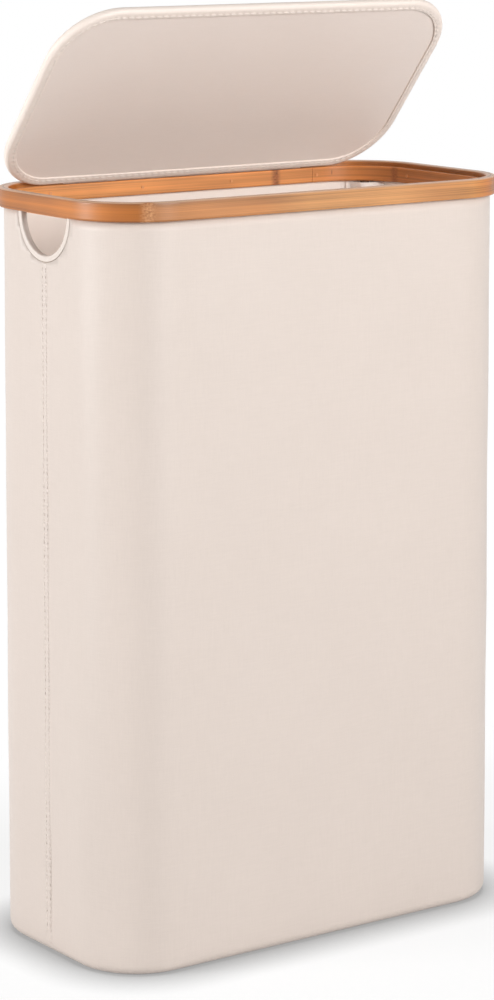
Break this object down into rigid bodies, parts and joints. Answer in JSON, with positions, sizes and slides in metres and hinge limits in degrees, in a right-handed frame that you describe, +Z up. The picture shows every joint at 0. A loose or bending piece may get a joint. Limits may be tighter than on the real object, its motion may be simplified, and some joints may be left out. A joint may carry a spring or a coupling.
{
  "type": "laundry hamper",
  "caption": "Slim fabric laundry hamper with a bent bamboo rim, half-round hand holes in the short sides and a cloth-covered hinged lid.",
  "frame": {"origin": "on the floor under the middle of the body", "axes": "+Z up, +X to the right seen from the front, +Y towards the back, where the lid is hinged"},
  "size_m": [0.44, 0.226, 0.8142],
  "materials": {
    "cover_cloth": "plain-woven linen-look polyester, warm off-white",
    "lining_cloth": "thin plain-woven lining, off-white",
    "binding_tape": "folded binding tape, pale cream",
    "lid_panel_cloth": "plain-woven cloth, grey beige",
    "stiffener_board": "pressed grey-brown board",
    "wadding": "soft white wadding",
    "bamboo": "laminated bamboo, clear satin lacquer",
    "bamboo_inner": "bent bamboo strip, clear satin lacquer",
    "steel": "drawn steel wire and rod",
    "cap_rubber": "dark moulded rubber"
  },
  "bodies": {
    "hamper": {"body_cover_front": "cover_cloth", "body_cover_back": "cover_cloth", "body_bottom_panel": "cover_cloth", "side_seam_left": "cover_cloth", "side_seam_right": "cover_cloth", "body_lining": "lining_cloth", "lining_bottom": "lining_cloth", "rod_sleeve_front_left": "lining_cloth", "rod_sleeve_front_right": "lining_cloth", "rod_sleeve_back_left": "lining_cloth", "rod_sleeve_back_right": "lining_cloth", "hinge_tape": "lining_cloth", "hole_binding_left": "binding_tape", "hole_binding_right": "binding_tape", "wall_stiffener_front": "stiffener_board", "wall_stiffener_back": "stiffener_board", "wall_stiffener_left": "stiffener_board", "wall_stiffener_right": "stiffener_board", "bottom_stiffener": "stiffener_board", "rim_outer_ply": "bamboo", "rim_inner_ply": "bamboo", "rim_ledge_strip": "bamboo_inner", "rim_brads": "steel", "corner_rod_front_left": "steel", "corner_rod_front_right": "steel", "corner_rod_back_left": "steel", "corner_rod_back_right": "steel", "rod_end_caps": "cap_rubber"},
    "lid": {"lid_cover": "cover_cloth", "lid_board": "stiffener_board", "lid_foam": "wadding", "lid_under_panel": "lid_panel_cloth", "hinge_tape_lid": "lining_cloth"},
    "base_board_body": {"base_board": "stiffener_board", "base_board_cover": "lining_cloth"}
  },
  "joints": [
    {"name": "lid_hinge", "type": "hinge", "parent": "hamper", "child": "lid", "pos_m": [0, 0.0992, 0.6599], "axis": [-1, 0, 0], "range_deg": [-50, 115]},
    {"name": "base_board_lift", "type": "slide", "parent": "hamper", "child": "base_board_body", "axis": [0, 0, 1], "range_m": [0, 0.628]}
  ]
}
